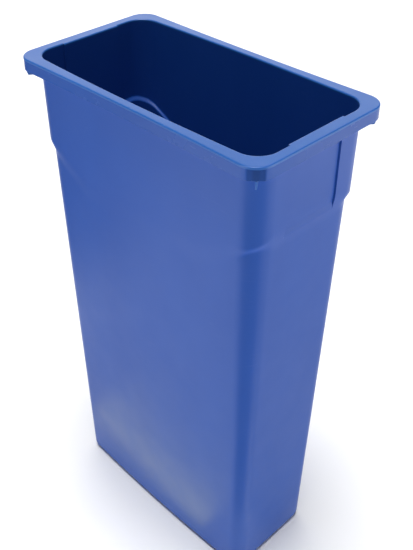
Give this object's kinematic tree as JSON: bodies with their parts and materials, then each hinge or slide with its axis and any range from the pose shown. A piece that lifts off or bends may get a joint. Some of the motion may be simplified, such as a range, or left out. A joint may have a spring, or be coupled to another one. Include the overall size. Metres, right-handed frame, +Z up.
{
  "type": "slim open wastebasket",
  "caption": "Tall slim open-topped plastic wastebasket with tapered walls, a turned-down rim and recessed grip panels under it at both ends.",
  "frame": {"origin": "middle of the standing face of the base", "axes": "+Z up through the open top, +X along the long side, +Y towards the back long side"},
  "size_m": [0.448, 0.2414, 0.762],
  "materials": {
    "moulded_plastic": "fine satin moulded polyethylene, blue"
  },
  "bodies": {
    "root": {"foot_ring": "moulded_plastic", "base_floor": "moulded_plastic", "body_shell": "moulded_plastic", "shoulder_band": "moulded_plastic", "collar_front": "moulded_plastic", "collar_back": "moulded_plastic", "grip_panel_left": "moulded_plastic", "grip_panel_right": "moulded_plastic", "rim_flange": "moulded_plastic", "rim_skirt": "moulded_plastic", "corner_webs": "moulded_plastic"}
  },
  "joints": []
}
